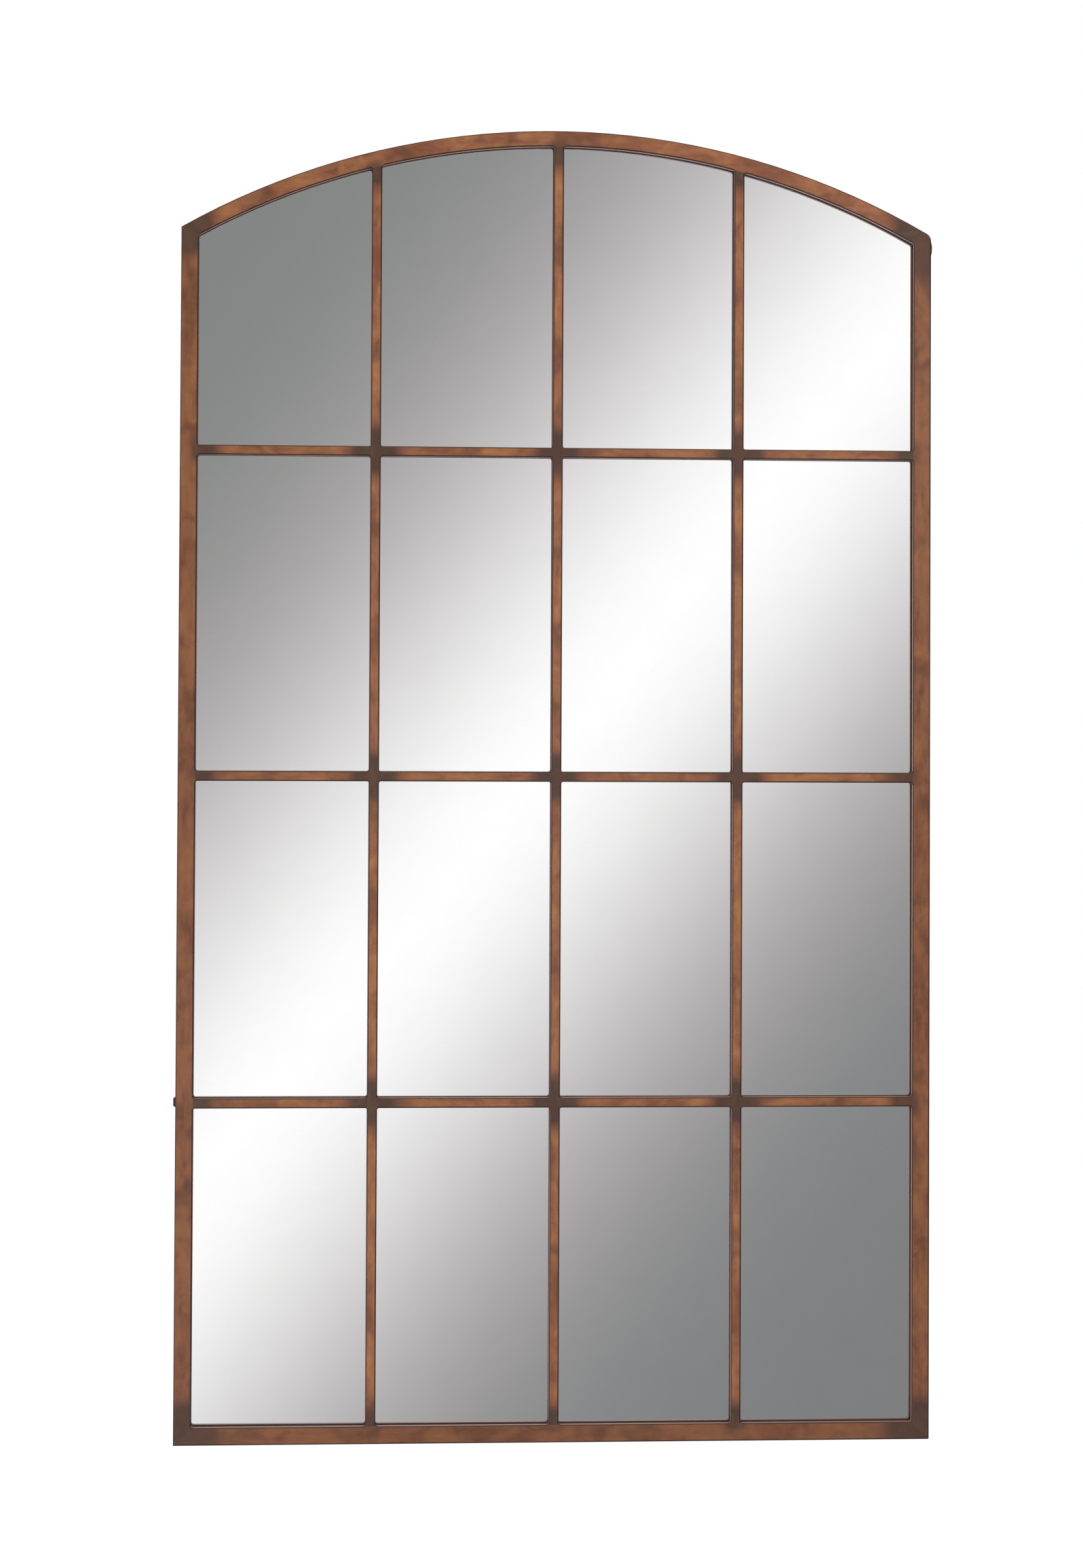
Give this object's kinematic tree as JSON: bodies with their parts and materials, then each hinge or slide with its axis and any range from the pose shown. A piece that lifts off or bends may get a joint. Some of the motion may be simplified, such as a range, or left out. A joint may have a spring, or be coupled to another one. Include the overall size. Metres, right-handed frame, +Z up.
{
  "type": "arched window mirror",
  "caption": "Tall wall mirror made like an arched window: a welded copper-brown steel grid in front of a single sheet of mirror glass, with swinging rings on the back to hang it.",
  "frame": {"origin": "middle of the underside, at half the overall depth", "axes": "+Z up along the height, +X to the right as seen from the front, +Y to the back; the mirror faces -Y"},
  "size_m": [0.9697, 0.0318, 1.6763],
  "materials": {
    "copper_patina": "mottled copper brown patina, satin",
    "burnt_weld": "scorched brown weld, satin",
    "rim_steel": "brown lacquered mild steel, satin",
    "silvered_glass": "clear float glass with a silvered back",
    "foam_tape": "black foam glazing tape",
    "backing_board": "brown hardboard, smooth",
    "zinc_steel": "zinc plated steel",
    "bumper_rubber": "black rubber"
  },
  "bodies": {
    "frame": {"stile_left": "copper_patina", "stile_right": "copper_patina", "bottom_rail": "copper_patina", "arch_rail": "copper_patina", "glazing_bar_left": "copper_patina", "glazing_bar_middle": "copper_patina", "glazing_bar_right": "copper_patina", "cross_bar_lower_1": "copper_patina", "cross_bar_lower_2": "copper_patina", "cross_bar_lower_3": "copper_patina", "cross_bar_lower_4": "copper_patina", "cross_bar_middle_1": "copper_patina", "cross_bar_middle_2": "copper_patina", "cross_bar_middle_3": "copper_patina", "cross_bar_middle_4": "copper_patina", "cross_bar_upper_1": "copper_patina", "cross_bar_upper_2": "copper_patina", "cross_bar_upper_3": "copper_patina", "cross_bar_upper_4": "copper_patina", "fillet_welds_rail": "burnt_weld", "fillet_welds_lower": "burnt_weld", "fillet_welds_middle": "burnt_weld", "fillet_welds_upper": "burnt_weld", "fillet_welds_arch": "burnt_weld", "corner_bead": "burnt_weld", "tack_weld": "burnt_weld", "rim_left": "rim_steel", "rim_right": "rim_steel", "rim_base": "rim_steel", "rim_arch": "rim_steel", "glazing_tape_frame": "foam_tape", "glazing_tape_bars": "foam_tape", "mirror_glass": "silvered_glass", "backing_board": "backing_board", "retaining_tabs": "rim_steel", "tab_screws": "zinc_steel", "hanger_plate_left": "rim_steel", "hanger_strap_left": "zinc_steel", "hanger_plate_right": "rim_steel", "hanger_strap_right": "zinc_steel", "hanger_rivets": "zinc_steel", "wall_bumpers": "bumper_rubber"},
    "ring_left": {"hanging_ring_left": "zinc_steel"},
    "ring_right": {"hanging_ring_right": "zinc_steel"}
  },
  "joints": [
    {"name": "ring_left_swing", "type": "hinge", "parent": "frame", "child": "ring_left", "pos_m": [-0.4526, 0.0125, 1.30811], "axis": [1, 0, 0], "range_deg": [-10, 165]},
    {"name": "ring_right_swing", "type": "hinge", "parent": "frame", "child": "ring_right", "pos_m": [0.4526, 0.0125, 1.30811], "axis": [1, 0, 0], "range_deg": [-10, 165]}
  ]
}
